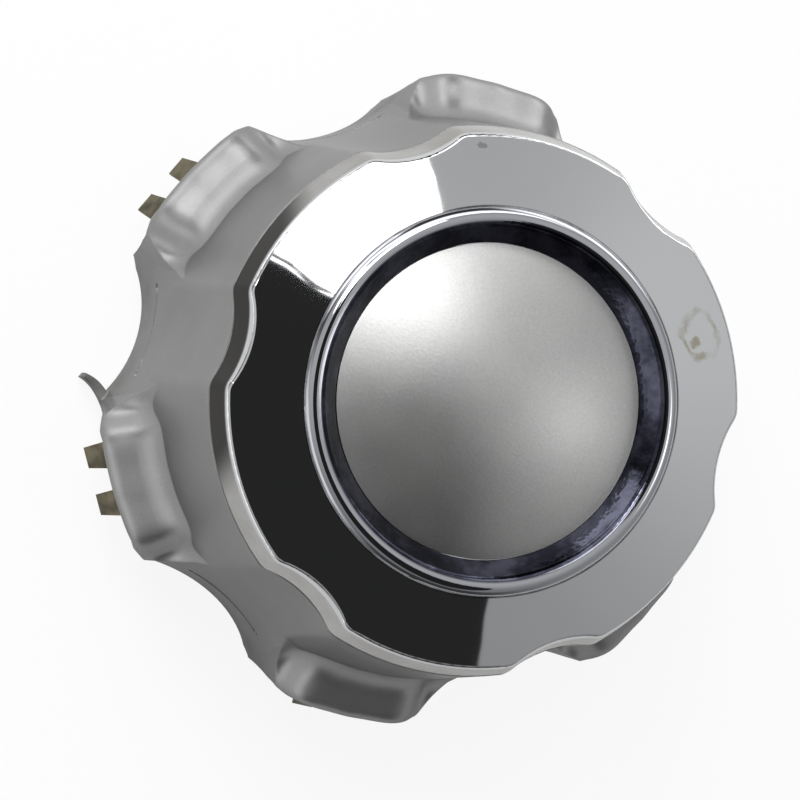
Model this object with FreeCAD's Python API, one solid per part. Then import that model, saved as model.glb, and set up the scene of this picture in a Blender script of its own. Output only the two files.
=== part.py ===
import FreeCAD, Part
import math
import os

# Wheel centre cap for a six-stud wheel, standing face up on the tips of its six tongues.
# Lengths are in millimetres and angles in degrees.
# Origin: on the axis of the cap, in the plane that the tongue tips stand on. +Z is towards the face.
# Lobe 1 lies along +X. The stud clearances lie half way between the lobes.

V = FreeCAD.Vector
UP = V(0, 0, 1)

# Layout
lobe_count = 6
lobe_pitch = 360.0 / lobe_count
stud_circle_radius = 139.7 / 2
wall = 2.4

# Heights above the tongue tips
rim_height = 70.2
face_edge_drop = 3.5
band_height = 6.0
shadow_gap = 0.4
bell_foot_height = 24.6

# Face plate: chromed cover with a raised bead round a recess
face_lobe_radius = 49.4
face_scallop_reach = 46.8
face_thickness = 1.8
face_corner_radius = 4.0
lip_radius = 0.9
band_flare = 1.9
bead_outer_radius = 36.0
bead_inner_radius = 31.9
bead_rise = 1.3
recess_edge_drop = 2.8
recess_floor_thickness = 1.2
stake_radius = 2.0
stake_circle_radius = 42.0
stake_head_radius = 3.2
stake_head_thickness = 1.3

# Medallion: plain dome stuck in the recess
medallion_radius = 29.2
medallion_edge = 1.5
medallion_rise = 4.6
recess_clearance = 0.15
tape_thickness = 0.8
tape_margin = 2.0

# Skirt: bell with lobed flanges and six tongues
bell_top_overhang = 0.2
bell_foot_radius = 55.6
bell_foot_reach = 53.6
bell_foot_scallop_radius = 38.0
bell_foot_corner_radius = 5.0
bell_top_scallop_radius = 24.0
plug_clearance = 0.3
deck_thickness = 2.4
deck_hole_radius = 22.0
stake_hole_clearance = 0.2
flange_radius = 63.5
flange_height = 19.2
flange_flank_angle = 7.6
pad_radius = 64.4
pad_crest_height = 25.6
pad_edge_height = 22.7
pad_half_angle = 9.2
pad_fade_angle = 3.0
pad_corner_gap_angle = 1.2
tongue_reach = 55.3
tongue_side_reach = 58.7
tongue_side_half_width = 14.8
doorway_half_width = 14.7
doorway_foot_half_width = 16.4
doorway_side_height = 19.5
doorway_crown_height = 22.7
foot_arch_half_width = 12.4
foot_arch_height = 5.0
bead_line_height = 15.6
bead_line_half_width = 8.7
bead_line_radius = 0.55

# Clips: sprung steel, one inside each lobe, two prongs each
clip_thickness = 0.8
clip_width = 17.0
clip_top_height = 44.0
clip_bend_height = 21.5
clip_plate_reach = 49.6
prong_spacing = 9.6
prong_root_width = 6.6
prong_tip_width = 4.2
prong_knee_reach = 61.6
prong_knee_height = 13.8
prong_tip_reach = 65.0
prong_tip_height = 6.2
clip_swing = [0.0, 0.0, 3.0, -1.5, 0.0, 0.0]
post_radius = 1.5
post_clearance = 0.2
post_head_radius = 2.6
post_head_thickness = 1.0
post_spacing = 10.0
post_height = 37.0
boss_width = 18.0
boss_top_height = 45.0
boss_foot_height = 29.0

# Locating hook on one tongue
hook_tongue = 2
hook_height = 3.6


def polar(radius, angle, height=0.0):
    turn = math.radians(angle)
    return V(radius * math.cos(turn), radius * math.sin(turn), height)


def between(low, high, share):
    return low + (high - low) * share


def revolved(profile_edges):
    face = Part.Face(Part.Wire(Part.__sortEdges__(profile_edges)))
    return face.revolve(V(0, 0, 0), UP, 360)


def polygon_edges(points):
    return [Part.makeLine(points[i], points[i + 1]) for i in range(len(points) - 1)]


def arc(start, middle, end):
    return Part.Arc(start, middle, end).toShape()


def turned(shape, angle):
    copy = shape.copy()
    copy.rotate(V(0, 0, 0), UP, angle)
    return copy


def lobed_outline(height, lobe_radius, scallop_reach, scallop_radius, corner_radius):
    """Closed outline of lobe arcs and scallops, its outer corners rounded."""
    scallop_centre = scallop_reach + scallop_radius
    corner_distance = lobe_radius - corner_radius
    reach = scallop_radius + corner_radius
    cosine = (corner_distance ** 2 + scallop_centre ** 2 - reach ** 2)
    cosine = cosine / (2 * corner_distance * scallop_centre)
    corner_angle = math.degrees(math.acos(cosine))
    corner = polar(corner_distance, corner_angle, height)
    centre = V(scallop_centre, 0, height)
    on_scallop = centre + (corner - centre) * (scallop_radius / reach)
    on_lobe = polar(lobe_radius, corner_angle, height)
    toward = (on_scallop - corner).normalize() + (on_lobe - corner).normalize()
    on_corner = corner + toward.normalize() * corner_radius
    mirror = lambda p: V(p.x, -p.y, p.z)
    edges = []
    for step in range(lobe_count):
        middle = lobe_pitch * (step + 0.5)
        spot = lambda p: FreeCAD.Rotation(UP, middle).multVec(p)
        edges.append(arc(spot(mirror(on_scallop)), spot(V(scallop_reach, 0, height)), spot(on_scallop)))
        edges.append(arc(spot(on_scallop), spot(on_corner), spot(on_lobe)))
        lobe_middle = polar(lobe_radius, lobe_pitch / 2, height)
        next_start = FreeCAD.Rotation(UP, lobe_pitch).multVec(mirror(on_lobe))
        edges.append(arc(spot(on_lobe), spot(lobe_middle), spot(next_start)))
        follow = FreeCAD.Rotation(UP, lobe_pitch)
        ahead = [follow.multVec(mirror(p)) for p in (on_lobe, on_corner, on_scallop)]
        edges.append(arc(spot(ahead[0]), spot(ahead[1]), spot(ahead[2])))
    return Part.Wire(edges)


def lobed_block(levels):
    return Part.makeLoft([lobed_outline(*level) for level in levels], True, True)


# Heights that follow from the sizes above
face_edge_height = rim_height - face_edge_drop
band_foot_height = face_edge_height - band_height
bell_top_height = band_foot_height - shadow_gap
recess_edge_height = rim_height - recess_edge_drop
medallion_foot_height = recess_edge_height - medallion_edge
tape_foot_height = medallion_foot_height - tape_thickness
deck_top_height = tape_foot_height - recess_floor_thickness
deck_foot_height = deck_top_height - deck_thickness

# Outline sizes that follow
band_lobe_radius = face_lobe_radius + band_flare
band_scallop_reach = face_scallop_reach + band_flare
bell_top_radius = band_lobe_radius + bell_top_overhang
bell_top_reach = band_scallop_reach + bell_top_overhang
recess_radius = medallion_radius + recess_clearance
pad_end_angle = pad_half_angle + pad_fade_angle
flange_corner_angle = pad_end_angle + pad_corner_gap_angle
flange_end_angle = flange_corner_angle + flange_flank_angle


def flare_at(height):
    """How far the side band stands out from the face outline at a height."""
    return band_flare * (face_edge_height - height) / band_height


def face_level(height, inset):
    out = flare_at(height) - inset
    reach = face_scallop_reach + out
    return (height, face_lobe_radius + out, reach, stud_circle_radius - reach,
            max(face_corner_radius - inset, 1.0))


# Face plate
def face_plate():
    # Crown of the plate: slopes from the bead down to the edge
    slope = face_edge_drop / (face_lobe_radius - bead_outer_radius)
    edge_radius = band_lobe_radius + 6
    edge_height = rim_height - slope * (edge_radius - bead_outer_radius)
    bead_middle = (bead_outer_radius + bead_inner_radius) / 2
    crease = V(bead_inner_radius, 0, rim_height + 0.2)
    top = V(bead_middle, 0, rim_height + bead_rise)
    foot = V(bead_outer_radius, 0, rim_height)
    raised = [
        Part.makeLine(V(edge_radius, 0, edge_height), foot),
        arc(foot, top, crease),
        Part.makeLine(crease, V(recess_radius, 0, recess_edge_height)),
    ]
    raised += polygon_edges([
        V(recess_radius, 0, recess_edge_height),
        V(recess_radius, 0, tape_foot_height),
        V(0, 0, tape_foot_height),
        V(0, 0, band_foot_height - 5),
        V(edge_radius, 0, band_foot_height - 5),
        V(edge_radius, 0, edge_height),
    ])
    crown = revolved(raised)
    lower = [
        V(edge_radius, 0, edge_height - face_thickness),
        V(bead_inner_radius + face_thickness, 0, rim_height - face_thickness),
        V(bead_inner_radius + face_thickness - 1.2, 0, rim_height - face_thickness),
        V(recess_radius + face_thickness, 0, recess_edge_height - face_thickness),
        V(recess_radius + face_thickness, 0, deck_top_height),
        V(0, 0, deck_top_height),
        V(0, 0, band_foot_height - 6),
        V(edge_radius, 0, band_foot_height - 6),
        V(edge_radius, 0, edge_height - face_thickness),
    ]
    under = revolved(polygon_edges(lower))
    hollow = lobed_block([face_level(band_foot_height - 1, face_thickness),
                          face_level(face_edge_height + 1, face_thickness)])
    body = lobed_block([face_level(band_foot_height, 0), face_level(rim_height + 3, 0)]).common(crown)
    lip_edges = []
    for edge in body.Edges:
        box = edge.BoundBox
        middle = edge.valueAt((edge.FirstParameter + edge.LastParameter) / 2)
        high = box.ZMin > face_edge_height - 1.5 and box.ZLength < 1.5
        if high and math.hypot(middle.x, middle.y) > face_scallop_reach - 1.5:
            lip_edges.append(edge)
    body = body.makeFillet(lip_radius, lip_edges)
    body = body.cut(under.common(hollow))
    for step in range(lobe_count):
        spot = polar(stake_circle_radius, lobe_pitch * step, 0)
        foot_height = deck_foot_height - stake_head_thickness
        post = Part.makeCylinder(stake_radius, rim_height - 3 - foot_height, spot + V(0, 0, foot_height))
        head = Part.makeCone(stake_head_radius - 0.7, stake_head_radius, stake_head_thickness,
                             spot + V(0, 0, foot_height))
        body = body.fuse(post.common(crown)).fuse(head)
    return body.removeSplitter()


# Medallion and its tape
def medallion():
    edge = V(medallion_radius, 0, recess_edge_height)
    top = V(0, 0, recess_edge_height + medallion_rise)
    sphere_radius = (medallion_radius ** 2 + medallion_rise ** 2) / (2 * medallion_rise)
    part_way = medallion_radius / 2
    drop = sphere_radius - math.sqrt(sphere_radius ** 2 - part_way ** 2)
    middle = V(part_way, 0, recess_edge_height + medallion_rise - drop)
    outline = [arc(edge, middle, top)]
    outline += polygon_edges([top, V(0, 0, medallion_foot_height),
                              V(medallion_radius, 0, medallion_foot_height), edge])
    return revolved(outline)


def medallion_tape():
    return Part.makeCylinder(medallion_radius - tape_margin, tape_thickness, V(0, 0, tape_foot_height))


# Skirt
def smooth(points, inset):
    """Smooth curve through points of a radial section, moved inwards by the inset."""
    shifted = []
    for i, (radius, height) in enumerate(points):
        before = points[max(i - 1, 0)]
        after = points[min(i + 1, len(points) - 1)]
        run = V(after[0] - before[0], after[1] - before[1], 0).normalize()
        shifted.append(V(radius + run.y * inset, 0, height - run.x * inset))
    curve = Part.BSplineCurve()
    curve.interpolate(shifted)
    return curve.toShape(), shifted[0], shifted[-1]


def closed_section(points, inset, inner, floor):
    """Edges of a radial section: the smooth curve on top, closed below and towards the axis."""
    curve, start, end = smooth(points, inset)
    return [curve] + polygon_edges([end, V(end.x, 0, floor), V(inner, 0, floor), V(inner, 0, start.z), start])


def tongue_core(inset):
    """Round core that the tongues are cut from, under the bell."""
    reach = bell_foot_radius - inset
    outline = [V(0, 0, -6), V(reach + 3, 0, -6), V(reach + 2, 0, 14), V(reach + 0.4, 0, bell_foot_height),
               V(0, 0, bell_foot_height), V(0, 0, -6)]
    return revolved(polygon_edges(outline))


# Angle from the lobe's middle and share of the pad's full height
pad_fade = [(0.0, 1.0), (pad_half_angle * 0.5, 1.0), (pad_half_angle, 1.0),
            (between(pad_half_angle, pad_end_angle, 0.5), 0.78), (pad_end_angle, 0.35),
            (flange_corner_angle, 0.0), (flange_corner_angle + 3.6, 0.0), (flange_end_angle, 0.0)]
pad_stations = [(-angle, lift) for angle, lift in pad_fade[:0:-1]] + pad_fade


def flange_section(angle, lift, inset):
    """Radial section of a lobe: flare, flange and pad, closed down past the tongue tips."""
    low = [
        (52.9, 41.0),
        (53.9, 35.0),
        (55.1, 29.2),
        (57.4, 25.0),
        (60.2, 22.6),
        (62.5, 21.0),
        (flange_radius, flange_height),
    ]
    full = [
        (52.9, 41.0),
        (53.9, 35.0),
        (55.8, pad_crest_height + 5.1),
        (59.2, pad_crest_height + 1.9),
        (62.6, pad_crest_height),
        (64.0, pad_crest_height - 1.2),
        (pad_radius, pad_edge_height),
    ]
    points = [(between(a[0], b[0], lift), between(a[1], b[1], lift)) for a, b in zip(low, full)]
    section = Part.Wire(closed_section(points, inset, 50.0 - inset, -6.0))
    section.rotate(V(0, 0, 0), UP, angle)
    return section


def lobe_flanges(inset):
    """Flanges of the six lobes, each lofted through radial sections."""
    wires = [flange_section(angle, lift, inset) for angle, lift in pad_stations]
    flange = Part.makeLoft(wires, True, False)
    return [turned(flange, lobe_pitch * step) for step in range(lobe_count)]


def arc_centre(reach, side_reach, side_half_width):
    return (side_reach ** 2 + side_half_width ** 2 - reach ** 2) / (2 * (side_reach - reach))


def clearance_level(height, reach, side_reach, side_half_width, aim, inset):
    """Plan of a stud clearance at one height: a shallow arc between two flanks."""
    centre = arc_centre(reach, side_reach, side_half_width)
    radius = centre - reach + inset
    run = V(aim[0] - side_reach, aim[1] - side_half_width, 0).normalize()
    normal = V(-run.y, run.x, 0)
    start = V(side_reach, side_half_width, 0) + normal * inset
    # Where the moved flank meets the moved arc
    to_start = start - V(centre, 0, 0)
    b = to_start.dot(run)
    c = to_start.dot(to_start) - radius ** 2
    roots = [-b - math.sqrt(b * b - c), -b + math.sqrt(b * b - c)]
    candidates = [start + run * root for root in roots]
    corner = min(candidates, key=lambda p: abs(p.x - side_reach) + abs(p.y - side_half_width))
    far = 88.0
    outer = corner + run * ((far - corner.x) / run.x)
    at = lambda p, sign: V(p.x, sign * p.y, height)
    edges = [
        Part.makeLine(at(outer, -1), at(corner, -1)),
        arc(at(corner, -1), V(centre - radius, 0, height), at(corner, 1)),
        Part.makeLine(at(corner, 1), at(outer, 1)),
        Part.makeLine(at(outer, 1), at(outer, -1)),
    ]
    return Part.Wire(edges)


corner_aim = (60.9, 18.2)
clearance_levels = [
    (-5.0, tongue_reach + 0.1, tongue_side_reach + 0.1, tongue_side_half_width + 0.1),
    (14.0, tongue_reach - 0.7, 57.2, 13.4),
    (bell_foot_height, bell_foot_reach - 0.1, 55.4, 12.1),
    (34.5, 52.0, 53.6, 11.0),
    (46.0, 50.3, 51.5, 9.5),
]


def stud_clearances(inset):
    wires = []
    for height, reach, side_reach, side_half_width in clearance_levels:
        wires.append(clearance_level(height, reach, side_reach, side_half_width, corner_aim, inset))
    tool = Part.makeLoft(wires, True, True)
    return [turned(tool, lobe_pitch * (step + 0.5)) for step in range(lobe_count)]


def bell_level(height, inset):
    share = (height - bell_foot_height) / (bell_top_height - bell_foot_height)
    return (
        height,
        between(bell_foot_radius, bell_top_radius, share) - inset,
        between(bell_foot_reach, bell_top_reach, share) - inset,
        between(bell_foot_scallop_radius, bell_top_scallop_radius, share) + inset,
        max(between(bell_foot_corner_radius, face_corner_radius, share) - inset, 0.8),
    )


def skirt_body(inset):
    top = bell_top_height - inset
    bell = lobed_block([bell_level(bell_foot_height, inset), bell_level(top, inset)])
    lower = tongue_core(inset).fuse(lobe_flanges(inset)).cut(stud_clearances(inset))
    return bell.fuse(lower)


def plug_block(low, high, inset):
    clear = face_thickness + plug_clearance + inset
    return lobed_block([face_level(low, clear), face_level(high, clear)])


def doorway():
    """Cutter for the opening under lobe 1, between its two tongues."""
    half = doorway_half_width
    foot = doorway_foot_half_width
    crown_half = half * 0.68
    points = [
        (-foot - 1, -8), (-foot, 0), (-half, doorway_side_height), (-half * 0.8, doorway_side_height + 0.4),
        (-crown_half, doorway_crown_height), (crown_half, doorway_crown_height),
        (half * 0.8, doorway_side_height + 0.4), (half, doorway_side_height), (foot, 0), (foot + 1, -8),
        (-foot - 1, -8),
    ]
    outline = Part.makePolygon([V(30, y, z) for y, z in points])
    return Part.Face(outline).extrude(V(60, 0, 0))


def foot_arch():
    """Cutter that leaves two small feet at the tip of the tongue along +X."""
    half = foot_arch_half_width
    edges = [arc(V(30, -half, 0), V(30, 0, foot_arch_height), V(30, half, 0))]
    edges += polygon_edges([V(30, half, 0), V(30, half, -8), V(30, -half, -8), V(30, -half, 0)])
    return Part.Face(Part.Wire(edges)).extrude(V(60, 0, 0))


def boss_and_posts(step):
    """Flat seat for a clip inside a lobe, with two posts through the clip and their heads."""
    lobe = turned_box(clip_plate_reach, 60.0, boss_width, boss_foot_height, boss_top_height)
    seat = lobe.common(bell_core)
    for side in (-1, 1):
        head_reach = clip_plate_reach - clip_thickness - post_head_thickness
        start = V(head_reach, side * post_spacing / 2, post_height)
        shank = Part.makeCylinder(post_radius, post_head_thickness + clip_thickness + 1, start, V(1, 0, 0))
        head = Part.makeCone(post_head_radius - 0.5, post_head_radius, post_head_thickness, start, V(1, 0, 0))
        seat = seat.fuse([shank, head])
    return turned(seat, lobe_pitch * step + clip_swing[step])


def turned_box(near, far, width, low, high):
    return Part.makeBox(far - near, width, high - low, V(near, -width / 2, low))


def bead_line():
    """Shallow groove across the tongue along +X, with a small round dimple at each end."""
    low, high = clearance_levels[1], clearance_levels[2]
    share = (bead_line_height - low[0]) / (high[0] - low[0])
    reach, side_reach, half_width = [between(a, b, share) for a, b in zip(low[1:], high[1:])]
    centre = arc_centre(reach, side_reach, half_width)
    radius = centre - reach
    sweep = math.degrees(math.asin(bead_line_half_width / radius))
    ring = Part.makeTorus(radius, bead_line_radius, V(centre, 0, bead_line_height), UP, -180, 180, 2 * sweep)
    ring.rotate(V(centre, 0, bead_line_height), UP, 180 - sweep)
    dimples = []
    for side in (-1, 1):
        angle = math.radians(180 - side * sweep)
        spot = V(centre + radius * math.cos(angle), radius * math.sin(angle), bead_line_height)
        dimples.append(Part.makeSphere(bead_line_radius * 1.5, spot))
    return [ring] + dimples


def hook():
    """Curved finger moulded on the tip of one tongue, drawn for the tongue along +X."""
    outer = Part.BSplineCurve()
    outer.interpolate([V(56.95, 17.5, 0), V(59.06, 14.6, 0), V(61.19, 12.6, 0), V(63.76, 11.4, 0)])
    inner = Part.BSplineCurve()
    inner.interpolate([V(63.2, 10.4, 0), V(60.74, 11.1, 0), V(58.04, 13.1, 0)])
    edges = [outer.toShape(), Part.makeLine(V(63.76, 11.4, 0), V(63.2, 10.4, 0)), inner.toShape()]
    edges += polygon_edges([V(58.04, 13.1, 0), V(57.2, 12.6, 0), V(55.9, 14.9, 0), V(56.95, 17.5, 0)])
    finger = Part.Face(Part.Wire(edges)).extrude(V(0, 0, hook_height))
    finger.translate(V(0, 0, 0.2))
    return finger


bell_core = lobed_block([bell_level(bell_foot_height, wall / 2), bell_level(bell_top_height, wall / 2)])


def skirt_shell():
    outer = skirt_body(0).fuse(plug_block(bell_top_height - 1, deck_top_height, 0))
    hollow = skirt_body(wall).fuse(plug_block(bell_top_height - wall - 1, deck_foot_height, wall))
    shell = outer.cut(hollow)
    cuts = [turned(doorway(), lobe_pitch * step) for step in range(lobe_count)]
    cuts += [turned(foot_arch(), lobe_pitch * (step + 0.5)) for step in range(lobe_count)]
    cuts.append(Part.makeBox(200, 200, 20, V(-100, -100, -20)))
    cuts.append(Part.makeCylinder(deck_hole_radius, 10, V(0, 0, deck_foot_height - 5)))
    for step in range(lobe_count):
        spot = polar(stake_circle_radius, lobe_pitch * step, deck_foot_height - 5)
        cuts.append(Part.makeCylinder(stake_radius + stake_hole_clearance, 10, spot))
        cuts += [turned(line, lobe_pitch * (step + 0.5)) for line in bead_line()]
    shell = shell.cut(cuts)
    extras = [boss_and_posts(step) for step in range(lobe_count)]
    extras.append(turned(hook(), lobe_pitch * (hook_tongue + 0.5)))
    return shell.fuse(extras)


# Clips
def strip_edges(points, thickness):
    """Outline of a folded strip whose outer side runs through the points; mitred corners."""
    inner = []
    for i, point in enumerate(points):
        runs = []
        if i > 0:
            runs.append((point - points[i - 1]).normalize())
        if i < len(points) - 1:
            runs.append((points[i + 1] - point).normalize())
        normals = [V(run.z, 0, -run.x) for run in runs]
        total = normals[0]
        if len(normals) > 1:
            total = (normals[0] + normals[1]).normalize()
        inner.append(point + total * (thickness / total.dot(normals[0])))
    return polygon_edges(points + inner[::-1] + [points[0]])


def clip(step):
    points = [
        V(clip_plate_reach, 0, clip_top_height),
        V(clip_plate_reach, 0, clip_bend_height),
        V(prong_knee_reach, 0, prong_knee_height),
        V(prong_tip_reach, 0, prong_tip_height),
    ]
    strip = Part.Face(Part.Wire(strip_edges(points, clip_thickness))).extrude(V(0, clip_width, 0))
    strip.translate(V(0, -clip_width / 2, 0))
    bends = []
    for edge in strip.Edges:
        box = edge.BoundBox
        along = box.YLength > clip_width - 0.1
        if along and prong_tip_height + 2 < box.ZMin < clip_top_height - 2:
            bends.append(edge)
    strip = strip.makeFillet(1.0, bends)
    root = clip_bend_height - 2.0
    drop = root - prong_tip_height + 3
    taper = (prong_root_width - prong_tip_width) / 2 * (drop / (root - prong_tip_height))
    middle = prong_spacing / 2 - prong_root_width / 2
    side = prong_spacing / 2 + prong_root_width / 2
    foot = root - drop
    gaps = [
        [V(30, -middle, root), V(30, middle, root), V(30, middle + taper, foot), V(30, -middle - taper, foot)],
        [V(30, side, root), V(30, side + 5, root), V(30, side + 5, foot), V(30, side - taper, foot)],
        [V(30, -side, root), V(30, -side - 5, root), V(30, -side - 5, foot), V(30, -side + taper, foot)],
    ]
    cuts = [Part.Face(Part.makePolygon(gap + [gap[0]])).extrude(V(50, 0, 0)) for gap in gaps]
    for offset in (-1, 1):
        start = V(clip_plate_reach - 5, offset * post_spacing / 2, post_height)
        cuts.append(Part.makeCylinder(post_radius + post_clearance, 10, start, V(1, 0, 0)))
    strip = strip.cut(cuts)
    return turned(strip, lobe_pitch * step + clip_swing[step])


if __name__ == "__main__":
    os.makedirs("parts", exist_ok=True)
    face_plate().exportStep("parts/face_plate.step")
    medallion().exportStep("parts/medallion.step")
    medallion_tape().exportStep("parts/medallion_tape.step")
    skirt_shell().exportStep("parts/skirt_shell.step")
    for step in range(lobe_count):
        clip(step).exportStep("parts/clip_%d.step" % (step + 1))
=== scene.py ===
import bpy
import math
from mathutils import Matrix, Vector


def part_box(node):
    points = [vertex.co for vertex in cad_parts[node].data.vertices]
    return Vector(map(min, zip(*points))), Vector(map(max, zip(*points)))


# Wheel centre cap, standing face up on a pale table in a room with one bright window.
# Numbers times MM are millimetres; Blender works in metres.
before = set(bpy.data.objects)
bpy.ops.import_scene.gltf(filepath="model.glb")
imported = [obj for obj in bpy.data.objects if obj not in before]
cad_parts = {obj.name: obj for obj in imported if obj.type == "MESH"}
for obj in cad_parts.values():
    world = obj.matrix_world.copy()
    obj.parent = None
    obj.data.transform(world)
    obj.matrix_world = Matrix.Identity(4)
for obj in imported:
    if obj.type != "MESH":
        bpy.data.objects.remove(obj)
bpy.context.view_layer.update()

MM = 0.001
SMOOTH = {"interpolation_type": "SMOOTHSTEP"}

# The dome's edge and top, from which the zones of the plate are measured
dome_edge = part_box("medallion")[1].x
dome_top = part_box("medallion")[1].z

# Marks left on the face: place in mm from the axis
STAIN = (43.2, 0.4)
DROP = (41.6, -0.2)
# Dark specks: place and radius in mm
SPECKS = [(12.5, 45.5, 0.55), (11.3, 43.0, 0.7), (-3.2, 44.1, 0.9)]

# The photograph is turned by this angle about the cap's axis
PHOTO_TURN = math.radians(16.63)
# Camera of the photograph: place in mm, and its directions to the right and up
CAMERA_PLACE = (-168.75, 58.32, 630.23)
CAMERA_RIGHT = (0.92347, -0.26729, 0.27524)
CAMERA_UP = (0.28195, 0.95932, -0.01438)

# Light low in the room, by direction across and up the photograph:
# where it starts, where it is full, and how strong it is
LOW_GLOWS = [
    ("pale wall on the left", (-0.95, -0.30), 0.62, 0.90, 0.75),
    ("brighter end of that wall", (-0.95, -0.30), 0.80, 0.95, 0.80),
    ("opening at the upper left", (-0.58, 0.81), 0.88, 0.98, 3.0),
    ("opening at the upper right", (0.68, 0.73), 0.87, 0.97, 2.6),
]
# Patches of the room, one over another: centre and half size as directions across and up, turn in degrees,
# shares of the half size where the edge ends and starts, level of light, and whether the edge is ragged
ROOM_PATCHES = [
    ("dark furniture", (-0.04, -0.25), (0.31, 0.58), 14.5, 1.01, 0.985, 0.03, False),
    ("lamp at the upper left", (-0.35, 0.47), (0.15, 0.15), 0.0, 1.0, 0.3, 14.0, False),
    ("window with a cluttered sill", (-0.015, 0.4025), (0.193, 0.17), 33.9, 1.02, 0.98, 5.0, True),
    ("pale panel on the right", (0.60, -0.09), (0.16, 0.16), 0.0, 1.0, 0.0, 4.2, False),
]


def deselect_all():
    for item in bpy.context.selected_objects:
        item.select_set(False)


def colour(hex_value, alpha=1.0):
    """sRGB hex to the linear colour that Blender's sockets want."""
    channels = [int(hex_value[i:i + 2], 16) / 255 for i in (1, 3, 5)]
    linear = [c / 12.92 if c <= 0.04045 else ((c + 0.055) / 1.055) ** 2.4 for c in channels]
    return (*linear, alpha)


def add_node(tree, kind, inputs=None, **settings):
    """Adds a node, makes its settings, and fills or links its inputs.

    A node given as an input stands for its first output.
    """
    node = tree.nodes.new(kind)
    for name, value in settings.items():
        setattr(node, name, value)
    for name, value in (inputs or {}).items():
        if isinstance(value, bpy.types.Node):
            value = value.outputs[0]
        if isinstance(value, bpy.types.NodeSocket):
            tree.links.new(value, node.inputs[name])
        else:
            node.inputs[name].default_value = value
    return node


def new_material(name):
    material = bpy.data.materials.new(name)
    material.use_nodes = True
    tree = material.node_tree
    tree.nodes.clear()
    shader = add_node(tree, "ShaderNodeBsdfPrincipled")
    add_node(tree, "ShaderNodeOutputMaterial", {"Surface": shader})
    return material, tree, shader


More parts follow.
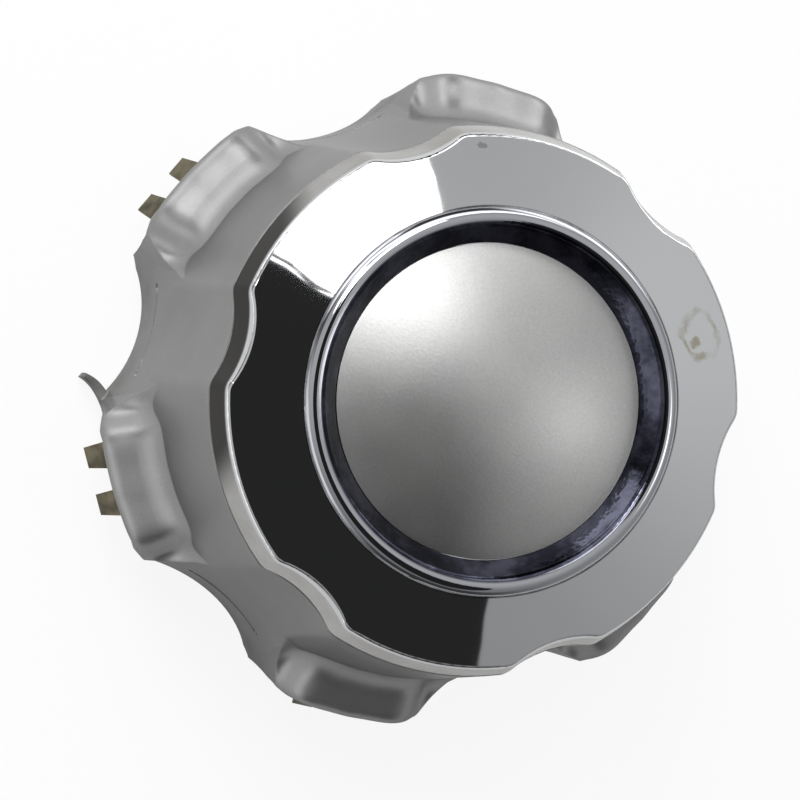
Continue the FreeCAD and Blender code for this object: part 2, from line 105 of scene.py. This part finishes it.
def chrome_plated_plastic():
    """Decorative chrome on moulded ABS: a mirror with a faint waviness from the moulding below it."""
    material, tree, shader = new_material("chrome plating on ABS")
    place = add_node(tree, "ShaderNodeTexCoord").outputs["Object"]
    shader.inputs["Metallic"].default_value = 1.0
    height = add_node(tree, "ShaderNodeSeparateXYZ", {0: place}).outputs["Z"]
    plan = add_node(tree, "ShaderNodeVectorMath", {0: place, 1: (1, 1, 0)}, operation="MULTIPLY")
    radius = add_node(tree, "ShaderNodeVectorMath", {0: plan}, operation="LENGTH").outputs["Value"]
    # The left side of the band, where painted shade colours the chrome near black
    leftward = (-0.852, 0.524, 0)
    left = add_node(tree, "ShaderNodeVectorMath", {0: place, 1: leftward}, operation="DOT_PRODUCT")

    # Smooth steps from none to full, in mm from the dome's edge, the dome's top or the axis
    edges = [
        ("under the rim", height, dome_top, -5.7, -6.5),
        ("on the face", height, dome_top, -7.0, -6.0),
        ("above the seat", height, dome_top, -6.5, -5.5),
        ("past the plate", radius, dome_edge, 14.8, 15.8),
        ("inside the bead", radius, dome_edge, 4.3, 3.7),
        ("bead starts", radius, dome_edge, 2.0, 2.4),
        ("bead ends", radius, dome_edge, 7.0, 6.7),
        ("crease starts", radius, dome_edge, 6.3, 6.6),
        ("crease ends", radius, dome_edge, 7.1, 6.8),
        ("on the left", left.outputs["Value"], 0.0, 41.0, 46.0),
    ]
    step = {}
    for name, value, origin, start, end in edges:
        limits = {"Value": value, "From Min": origin + start * MM, "From Max": origin + end * MM}
        step[name] = add_node(tree, "ShaderNodeMapRange", limits, **SMOOTH)
    pairs = [
        ("side band", "under the rim", "past the plate"),
        ("groove", "inside the bead", "above the seat"),
        ("bead", "bead starts", "bead ends"),
        ("crease", "crease starts", "crease ends"),
    ]
    zone = {}
    for name, first, second in pairs:
        both = {0: step[first], 1: step[second]}
        zone[name] = add_node(tree, "ShaderNodeMath", both, operation="MULTIPLY")

    # Patchy noise, about 6 mm across: painted shade in patches on the side band, none on the face, and
    # painted shade in the crease
    patchy = add_node(tree, "ShaderNodeTexNoise", {"Vector": place, "Scale": 160.0, "Detail": 4.0})
    shares = [
        ("band shade", 0.20, 0.75, 0.55, 0.80),
        ("crease shade", 0.30, 0.70, 0.35, 0.80),
        ("stain", 0.44, 0.60, 0.12, 0.70),
    ]
    amount = {}
    for name, start, end, least, most in shares:
        limits = {"Value": patchy, "From Min": start, "From Max": end, "To Min": least, "To Max": most}
        amount[name] = add_node(tree, "ShaderNodeMapRange", limits, **SMOOTH)
    coats = [
        # painted shade: the side band darkened to olive-grey in patches
        ("band shade", zone["side band"], amount["band shade"]),
        # painted shade: the side band's left side darkened near black
        ("black", zone["side band"], step["on the left"]),
        # painted shade in the crease at the bead's outer foot
        ("crease", zone["crease"], amount["crease shade"]),
        ("bead tint", zone["bead"], 0.7),
    ]
    coat = {}
    for name, where, how_much in coats:
        coat[name] = add_node(tree, "ShaderNodeMath", {0: where, 1: how_much}, operation="MULTIPLY")
    # painted shade: the darker of the band's left side and the crease
    painted_shade = add_node(tree, "ShaderNodeMath", {0: coat["black"], 1: coat["crease"]}, operation="MAXIMUM")

    # The groove round the dome carries a streaky blue-black lacquer, its streaks about 10 mm long
    grain = {"Vector": place, "Scale": 95.0, "Detail": 4.0, "Roughness": 0.65}
    streaks = add_node(tree, "ShaderNodeTexNoise", grain)
    limits = {"Value": streaks, "From Min": 0.42, "From Max": 0.62}
    thin = add_node(tree, "ShaderNodeMapRange", limits, **SMOOTH)
    tones = {0: thin, 6: colour("#25262F"), 7: colour("#454652")}
    lacquer = add_node(tree, "ShaderNodeMix", tones, data_type="RGBA")

    # A dried ring of brown water, a drop inside it and the specks, all with wobbly edges
    wobbly = add_node(tree, "ShaderNodeTexNoise", {"Vector": place, "Scale": 240.0, "Detail": 3.0})
    spread = {0: wobbly, 1: 6.0 * MM, 2: -3.0 * MM}
    wobble = add_node(tree, "ShaderNodeMath", spread, operation="MULTIPLY_ADD")
    marks = [
        ("ring inside", STAIN, 2.9, 3.6, 1.0),
        ("ring outside", STAIN, 4.9, 4.0, 1.0),
        ("drop", DROP, 1.1, 0.4, 0.8),
    ]
    marks += [(f"speck {x}", (x, y), size * 1.3, size * 0.6, 0.5) for x, y, size in SPECKS]
    mark = {}
    for name, (x, y), start, end, most in marks:
        middle = (x * MM, y * MM, 0)
        away = add_node(tree, "ShaderNodeVectorMath", {0: plan, 1: middle}, operation="DISTANCE")
        reach = add_node(tree, "ShaderNodeMath", {0: away.outputs["Value"], 1: wobble}, operation="ADD")
        limits = {"Value": reach, "From Min": start * MM, "From Max": end * MM, "To Max": most}
        mark[name] = add_node(tree, "ShaderNodeMapRange", limits, **SMOOTH)
    both = {0: mark["ring inside"], 1: mark["ring outside"]}
    ring = add_node(tree, "ShaderNodeMath", both, operation="MULTIPLY")
    faded = add_node(tree, "ShaderNodeMath", {0: ring, 1: amount["stain"]}, operation="MULTIPLY")
    stain = add_node(tree, "ShaderNodeMath", {0: faded, 1: mark["drop"]}, operation="MAXIMUM")

    layers = [
        (coat["bead tint"], colour("#9B9CA3")),
        # painted shade on the side band, in patches
        (coat["band shade"], colour("#8C8A84")),
        # painted shade, near black, on the band's left side and in the crease
        (painted_shade, colour("#2E2D2B")),
        (zone["groove"], lacquer.outputs[2]),
        (stain, colour("#8F8A74")),
    ]
    for name in [name for name in mark if name.startswith("speck")]:
        both = {0: mark[name], 1: step["on the face"]}
        speck = add_node(tree, "ShaderNodeMath", both, operation="MULTIPLY")
        layers.append((speck, colour("#6E6C66")))
    base = colour("#C5C6C8")
    for share, tone in layers:
        base = add_node(tree, "ShaderNodeMix", {0: share, 6: base, 7: tone}, data_type="RGBA").outputs[2]
    tree.links.new(base, shader.inputs["Base Color"])

    # A polished mirror, duller where the side band's painted shade, the lacquer or the stain lie on it
    rough = 0.035
    for share, dull in ((coat["band shade"], 0.22), (zone["groove"], 0.04), (stain, 0.35)):
        rough = add_node(tree, "ShaderNodeMath", {0: share, 1: dull, 2: rough}, operation="MULTIPLY_ADD")
    tree.links.new(rough.outputs[0], shader.inputs["Roughness"])

    # Moulding waves about 15 mm apart, and the lacquer's streaks in the groove
    waves = add_node(tree, "ShaderNodeTexNoise", {"Vector": place, "Scale": 65.0, "Detail": 1.0})
    runs = add_node(tree, "ShaderNodeMath", {0: zone["groove"], 1: streaks}, operation="MULTIPLY")
    ripple = add_node(tree, "ShaderNodeMath", {0: runs, 1: 3.0, 2: waves}, operation="MULTIPLY_ADD")
    bump = add_node(tree, "ShaderNodeBump", {"Height": ripple, "Strength": 0.08, "Distance": 1.0 * MM})
    tree.links.new(bump.outputs["Normal"], shader.inputs["Normal"])
    return material


def satin_dome_metal():
    """Satin anodised aluminium dome: fine matt grain that spreads each light into a soft glow."""
    material, tree, shader = new_material("satin anodised aluminium")
    place = add_node(tree, "ShaderNodeTexCoord").outputs["Object"]
    shader.inputs["Metallic"].default_value = 1.0
    # Blasted grain, drawn about 0.5 mm coarse so that it shows
    grain = add_node(tree, "ShaderNodeTexNoise", {"Vector": place, "Scale": 2000.0, "Detail": 2.0})
    cloud = add_node(tree, "ShaderNodeTexNoise", {"Vector": place, "Scale": 45.0, "Detail": 3.0})
    half_cloud = add_node(tree, "ShaderNodeMath", {0: cloud, 1: 0.5}, operation="MULTIPLY")
    tone = add_node(tree, "ShaderNodeMath", {0: grain, 1: 0.5, 2: half_cloud}, operation="MULTIPLY_ADD")
    limits = {"Value": tone, "From Min": 0.3, "From Max": 0.7}
    share = add_node(tree, "ShaderNodeMapRange", limits, **SMOOTH)
    tones = {0: share, 6: colour("#A6A6A6"), 7: colour("#B3B3B2")}
    base = add_node(tree, "ShaderNodeMix", tones, data_type="RGBA")
    tree.links.new(base.outputs[2], shader.inputs["Base Color"])
    limits = {"Value": cloud, "From Min": 0.3, "From Max": 0.7, "To Min": 0.33, "To Max": 0.37}
    rough = add_node(tree, "ShaderNodeMapRange", limits, **SMOOTH)
    tree.links.new(rough.outputs[0], shader.inputs["Roughness"])
    bump = add_node(tree, "ShaderNodeBump", {"Height": grain, "Strength": 0.08, "Distance": 0.2 * MM})
    tree.links.new(bump.outputs["Normal"], shader.inputs["Normal"])
    return material


def satin_silver_paint():
    """Satin silver lacquer on moulded ABS: metal flake under a thin clear coat."""
    material, tree, shader = new_material("satin silver lacquer on ABS")
    place = add_node(tree, "ShaderNodeTexCoord").outputs["Object"]
    shader.inputs["Metallic"].default_value = 0.85
    shader.inputs["Specular IOR Level"].default_value = 0.25
    shader.inputs["Specular Tint"].default_value = colour("#B0B0B0")
    shader.inputs["Coat Weight"].default_value = 0.2
    shader.inputs["Coat Roughness"].default_value = 0.2
    # Flake, drawn about 0.4 mm coarse so that it shows, and clouds about 20 mm across from the spray
    flake = add_node(tree, "ShaderNodeTexNoise", {"Vector": place, "Scale": 2600.0, "Detail": 1.0})
    cloud = add_node(tree, "ShaderNodeTexNoise", {"Vector": place, "Scale": 55.0, "Detail": 4.0})
    cloud_part = add_node(tree, "ShaderNodeMath", {0: cloud, 1: 0.65}, operation="MULTIPLY")
    tone = add_node(tree, "ShaderNodeMath", {0: flake, 1: 0.35, 2: cloud_part}, operation="MULTIPLY_ADD")
    limits = {"Value": tone, "From Min": 0.3, "From Max": 0.7}
    share = add_node(tree, "ShaderNodeMapRange", limits, **SMOOTH)
    tones = {0: share, 6: colour("#878787"), 7: colour("#919191")}
    paint = add_node(tree, "ShaderNodeMix", tones, data_type="RGBA")
    # The lowest 19 mm of the tongues are darker, in smudgy patches
    height = add_node(tree, "ShaderNodeSeparateXYZ", {0: place}).outputs["Z"]
    limits = {"Value": height, "From Min": 19 * MM, "From Max": 2 * MM}
    low_down = add_node(tree, "ShaderNodeMapRange", limits, **SMOOTH)
    smudge = add_node(tree, "ShaderNodeTexNoise", {"Vector": place, "Scale": 130.0, "Detail": 5.0})
    limits = {"Value": smudge, "From Min": 0.35, "From Max": 0.7, "To Min": 0.15, "To Max": 0.6}
    smudged = add_node(tree, "ShaderNodeMapRange", limits, **SMOOTH)
    low_darkening = add_node(tree, "ShaderNodeMath", {0: low_down, 1: smudged}, operation="MULTIPLY")
    layers = {0: low_darkening, 6: paint.outputs[2], 7: colour("#4E4B46")}
    base = add_node(tree, "ShaderNodeMix", layers, data_type="RGBA")
    tree.links.new(base.outputs[2], shader.inputs["Base Color"])
    limits = {"Value": cloud, "From Min": 0.3, "From Max": 0.7, "To Min": 0.36, "To Max": 0.375}
    rough = add_node(tree, "ShaderNodeMapRange", limits, **SMOOTH)
    tree.links.new(rough.outputs[0], shader.inputs["Roughness"])
    # Moulded corners are rounded by about 0.7 mm
    soft = add_node(tree, "ShaderNodeBevel", {"Radius": 0.7 * MM}, samples=4)
    skin = {"Height": flake, "Strength": 0.05, "Distance": 0.2 * MM, "Normal": soft}
    bump = add_node(tree, "ShaderNodeBump", skin)
    tree.links.new(bump.outputs["Normal"], shader.inputs["Normal"])
    return material


def spring_steel():
    """Tempered spring steel strip with an oiled olive-grey skin."""
    material, tree, shader = new_material("tempered spring steel")
    place = add_node(tree, "ShaderNodeTexCoord").outputs["Object"]
    shader.inputs["Metallic"].default_value = 1.0
    # Heat and oil leave patches about 3 mm across
    cloud = add_node(tree, "ShaderNodeTexNoise", {"Vector": place, "Scale": 300.0, "Detail": 5.0})
    limits = {"Value": cloud, "From Min": 0.3, "From Max": 0.7}
    share = add_node(tree, "ShaderNodeMapRange", limits, **SMOOTH)
    tones = {0: share, 6: colour("#4A4638"), 7: colour("#77715D")}
    base = add_node(tree, "ShaderNodeMix", tones, data_type="RGBA")
    tree.links.new(base.outputs[2], shader.inputs["Base Color"])
    limits = {"Value": cloud, "From Min": 0.3, "From Max": 0.7, "To Min": 0.34, "To Max": 0.5}
    rough = add_node(tree, "ShaderNodeMapRange", limits, **SMOOTH)
    tree.links.new(rough.outputs[0], shader.inputs["Roughness"])
    return material


def foam_tape():
    """Black closed-cell foam tape: matt, with open cells about 0.7 mm across at its cut edge."""
    material, tree, shader = new_material("black foam tape")
    place = add_node(tree, "ShaderNodeTexCoord").outputs["Object"]
    cells = add_node(tree, "ShaderNodeTexNoise", {"Vector": place, "Scale": 1500.0, "Detail": 2.0})
    tones = {0: cells, 6: colour("#141414"), 7: colour("#262626")}
    base = add_node(tree, "ShaderNodeMix", tones, data_type="RGBA")
    tree.links.new(base.outputs[2], shader.inputs["Base Color"])
    shader.inputs["Roughness"].default_value = 0.9
    return material


def room_light():
    """The room that the chrome mirrors, described by directions across and up the photograph."""
    world = bpy.data.worlds.new("room")
    bpy.context.scene.world = world
    world.use_nodes = True
    tree = world.node_tree
    tree.nodes.clear()
    direction = add_node(tree, "ShaderNodeTexCoord").outputs["Generated"]
    sideways = (math.cos(PHOTO_TURN), -math.sin(PHOTO_TURN), 0)
    upwards = (math.sin(PHOTO_TURN), math.cos(PHOTO_TURN), 0)
    across = add_node(tree, "ShaderNodeVectorMath", {0: direction, 1: sideways}, operation="DOT_PRODUCT")
    up = add_node(tree, "ShaderNodeVectorMath", {0: direction, 1: upwards}, operation="DOT_PRODUCT")
    across = across.outputs["Value"]
    up = up.outputs["Value"]
    height = add_node(tree, "ShaderNodeSeparateXYZ", {0: direction}).outputs["Z"]
    spot = add_node(tree, "ShaderNodeCombineXYZ", {0: across, 1: up})

    # Smooth changes of light: from and to on the first two numbers, least and most on the last two
    changes = [
        ("ceiling", up, -0.75, 0.15, 0.38, 0.80),
        ("dimmer past the window", up, 0.30, 0.60, 1.0, 0.74),
        ("bright strip at the top", up, 0.57, 0.68, 0.0, 2.6),
        ("towards the horizon", height, 0.60, 0.36, 0.0, 1.0),
        ("above the table", height, 0.0, 0.2, 0.0, 1.0),
        ("ground on the right", across, 0.15, 0.75, 0.08, 0.5),
    ]
    light = {}
    for name, value, start, end, least, most in changes:
        limits = {"Value": value, "From Min": start, "From Max": end, "To Min": least, "To Max": most}
        light[name] = add_node(tree, "ShaderNodeMapRange", limits, **SMOOTH)
    dimmed = {0: light["ceiling"], 1: light["dimmer past the window"], 2: light["bright strip at the top"]}
    level = add_node(tree, "ShaderNodeMath", dimmed, operation="MULTIPLY_ADD")

    # Towards the horizon the room is dim, apart from a few glows
    horizon = light["ground on the right"]
    for name, (x, y), start, end, most in LOW_GLOWS:
        toward = add_node(tree, "ShaderNodeVectorMath", {0: spot, 1: (x, y, 0)}, operation="DOT_PRODUCT")
        limits = {"Value": toward.outputs["Value"], "From Min": start, "From Max": end, "To Max": most}
        glow = add_node(tree, "ShaderNodeMapRange", limits, **SMOOTH)
        horizon = add_node(tree, "ShaderNodeMath", {0: horizon, 1: glow}, operation="ADD")
    low_share = {0: light["towards the horizon"], 2: level, 3: horizon}
    level = add_node(tree, "ShaderNodeMix", low_share, data_type="FLOAT")

    # Uneven edges, as of things on a sill
    uneven = add_node(tree, "ShaderNodeTexNoise", {"Vector": direction, "Scale": 75.0, "Detail": 2.0})
    jags = add_node(tree, "ShaderNodeMath", {0: uneven, 1: 0.6, 2: -0.3}, operation="MULTIPLY_ADD")
    for name, (x, y), (width, depth), turn, edge_end, edge_start, brightness, ragged in ROOM_PATCHES:
        moved = add_node(tree, "ShaderNodeVectorMath", {0: spot, 1: (x, y, 0)}, operation="SUBTRACT")
        swing = {"Vector": moved, "Angle": -math.radians(turn)}
        turned = add_node(tree, "ShaderNodeVectorRotate", swing, rotation_type="Z_AXIS")
        scale = (1 / width, 1 / depth, 1)
        scaled = add_node(tree, "ShaderNodeVectorMath", {0: turned, 1: scale}, operation="MULTIPLY")
        length = add_node(tree, "ShaderNodeVectorMath", {0: scaled}, operation="LENGTH").outputs["Value"]
        if ragged:
            length = add_node(tree, "ShaderNodeMath", {0: length, 1: jags}, operation="ADD")
        limits = {"Value": length, "From Min": edge_end, "From Max": edge_start}
        inside = add_node(tree, "ShaderNodeMapRange", limits, **SMOOTH)
        both = {0: inside, 1: light["above the table"]}
        share = add_node(tree, "ShaderNodeMath", both, operation="MULTIPLY")
        level = add_node(tree, "ShaderNodeMix", {0: share, 2: level, 3: brightness}, data_type="FLOAT")

    # The camera itself sees plain white behind the cap
    seen = add_node(tree, "ShaderNodeLightPath").outputs["Is Camera Ray"]
    shown = add_node(tree, "ShaderNodeMix", {0: seen, 2: level, 3: 1.0}, data_type="FLOAT")
    background = add_node(tree, "ShaderNodeBackground", {"Color": (1, 1, 1, 1), "Strength": shown})
    add_node(tree, "ShaderNodeOutputWorld", {"Surface": background})


def soft_lamp():
    """Large soft lamp low on the far side, for the matt surfaces; the chrome doesn't mirror its panel."""
    lamp_data = bpy.data.lights.new("soft lamp", "AREA")
    lamp_data.shape = "DISK"
    lamp_data.size = 0.8
    lamp_data.energy = 24.0
    lamp = bpy.data.objects.new("soft lamp", lamp_data)
    bpy.context.scene.collection.objects.link(lamp)
    lamp.location = Vector((-0.05, 1.10, 0.60))
    cap_middle = Vector((0, 0, 0.04))
    lamp.rotation_euler = (cap_middle - lamp.location).to_track_quat("-Z", "Y").to_euler()
    lamp.visible_glossy = False


def pale_floor():
    """Pale table top: near white to the camera with a faint shadow, and lightened in the chrome too."""
    deselect_all()
    bpy.ops.mesh.primitive_circle_add(vertices=96, radius=2.5, fill_type="NGON", location=(0, 0, -0.2 * MM))
    floor = bpy.context.object
    floor.name = "floor"
    material, tree, shader = new_material("pale table top")
    shader.inputs["Base Color"].default_value = colour("#C0C0C0")
    shader.inputs["Roughness"].default_value = 0.8
    paths = add_node(tree, "ShaderNodeLightPath").outputs
    camera_ray = paths["Is Camera Ray"]
    seen = add_node(tree, "ShaderNodeMath", {0: camera_ray, 1: paths["Is Glossy Ray"]}, operation="MAXIMUM")
    seen = add_node(tree, "ShaderNodeMath", {0: seen, 1: paths["Is Transmission Ray"]}, operation="MAXIMUM")
    direct = add_node(tree, "ShaderNodeMath", {0: camera_ray, 1: 0.55}, operation="MULTIPLY")
    share = add_node(tree, "ShaderNodeMath", {0: seen, 1: 0.35, 2: direct}, operation="MULTIPLY_ADD")
    white = add_node(tree, "ShaderNodeEmission", {"Color": (1, 1, 1, 1), "Strength": 1.0})
    mixed = add_node(tree, "ShaderNodeMixShader", {0: share, 1: shader, 2: white})
    tree.links.new(mixed.outputs[0], tree.nodes["Material Output"].inputs["Surface"])
    floor.data.materials.append(material)


def photo_camera():
    """Camera fitted to the photograph: 16 degrees off the cap's axis and about 590 mm from its face."""
    camera_data = bpy.data.cameras.new("photo camera")
    camera_data.sensor_width = 36.0
    camera_data.lens = 144.0
    camera_data.clip_start = 0.01
    camera = bpy.data.objects.new("photo camera", camera_data)
    bpy.context.scene.collection.objects.link(camera)
    right = Vector(CAMERA_RIGHT).normalized()
    back = right.cross(Vector(CAMERA_UP)).normalized()
    up = back.cross(right)
    turn = Matrix((right, up, back)).transposed().to_4x4()
    camera.matrix_world = Matrix.Translation(Vector(CAMERA_PLACE) * MM) @ turn
    bpy.context.scene.camera = camera


# Every CAD node keeps its shape and place and gets its finish
finishes = {
    "face_plate": chrome_plated_plastic(),
    "medallion": satin_dome_metal(),
    "medallion_tape": foam_tape(),
    "skirt_shell": satin_silver_paint(),
}
steel = spring_steel()
for name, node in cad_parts.items():
    for slot in node.material_slots:
        slot.material = finishes.get(name, steel)

room_light()
soft_lamp()
pale_floor()
photo_camera()
bpy.context.scene.view_settings.view_transform = "Standard"
